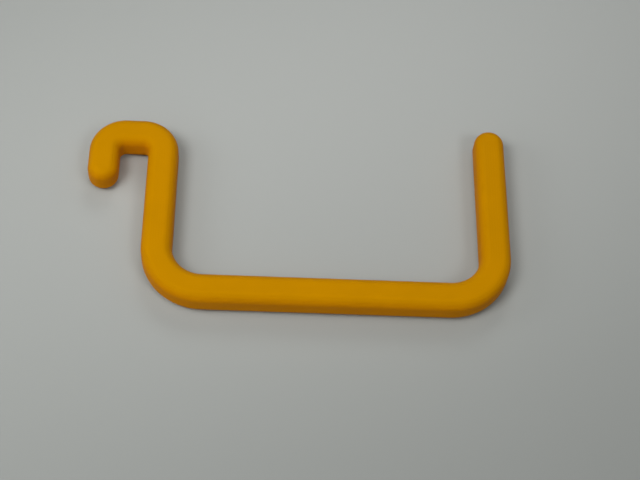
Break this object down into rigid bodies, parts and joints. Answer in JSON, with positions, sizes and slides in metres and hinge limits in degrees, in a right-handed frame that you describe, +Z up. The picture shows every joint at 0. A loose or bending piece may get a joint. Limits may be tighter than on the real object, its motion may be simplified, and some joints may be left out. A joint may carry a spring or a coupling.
{
  "type": "pegboard hook",
  "caption": "Flat plastic hook for a pegboard: a short peg with a turned-down tip, a post, a long straight bar and an upright end.",
  "frame": {"origin": "under the middle of the overall box, on the plane that the hook lies on", "axes": "+X along the bar, from the peg's side towards the upright end; +Y from the bar towards the peg; +Z up through the thickness of the flat piece"},
  "size_m": [0.0698, 0.0344, 0.005],
  "materials": {
    "hook_plastic": "warm yellow-orange printed plastic, satin, with fine print lines"
  },
  "bodies": {
    "root": {"pegboard_hook": "hook_plastic"}
  },
  "joints": []
}
